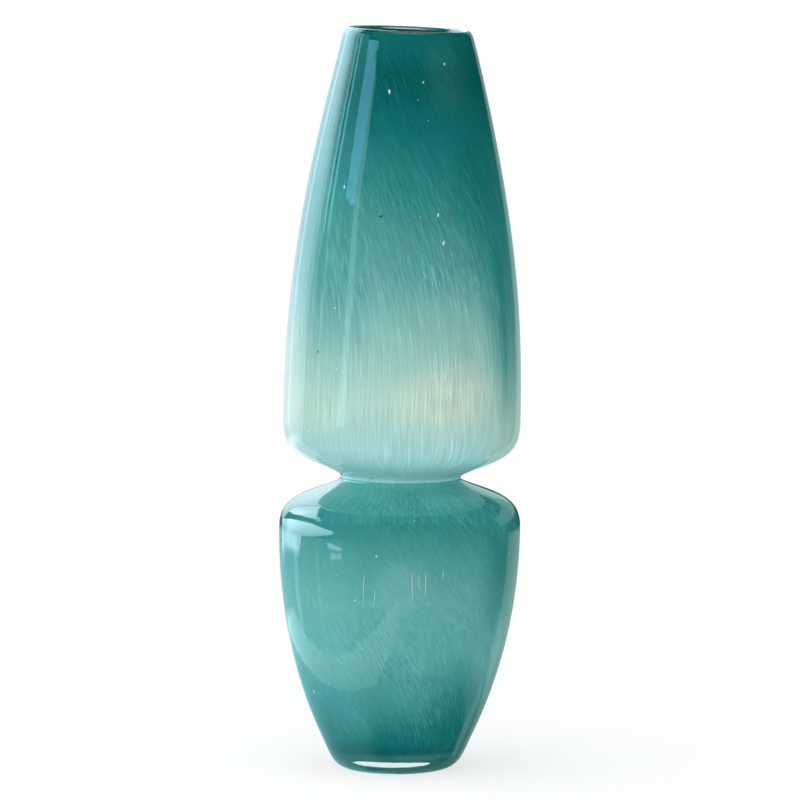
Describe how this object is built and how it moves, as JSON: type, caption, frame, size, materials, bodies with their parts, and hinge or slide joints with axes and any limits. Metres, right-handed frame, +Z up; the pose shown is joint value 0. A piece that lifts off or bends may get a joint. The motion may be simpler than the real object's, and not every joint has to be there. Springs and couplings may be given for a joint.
{
  "type": "hand-blown glass vase",
  "caption": "Tall cased glass vase: a tapered upper bulb over a rounded lower bulb, joined at a narrow waist, with a clear ground heel.",
  "frame": {"origin": "centre of the ground foot ring, on the surface the vase stands on", "axes": "+Z up along the vase's turning axis; X and Y are free, because the vase is round"},
  "size_m": [0.1238, 0.1238, 0.38],
  "materials": {
    "clear_glass": "fire-polished, glossy and colourless",
    "upper_teal": "translucent teal with fine pulled streaks, dark at the lip and fading to pale green low down",
    "lower_teal": "translucent teal with fine slanting streaks, darkest near the heel",
    "opal": "milky opal white, slightly warm"
  },
  "bodies": {
    "root": {"clear_casing": "clear_glass", "heel_gather": "clear_glass", "upper_teal_layer": "upper_teal", "upper_opal_layer": "opal", "upper_lining": "clear_glass", "lower_teal_layer": "lower_teal", "lower_opal_layer": "opal", "lower_lining": "clear_glass"}
  },
  "joints": []
}
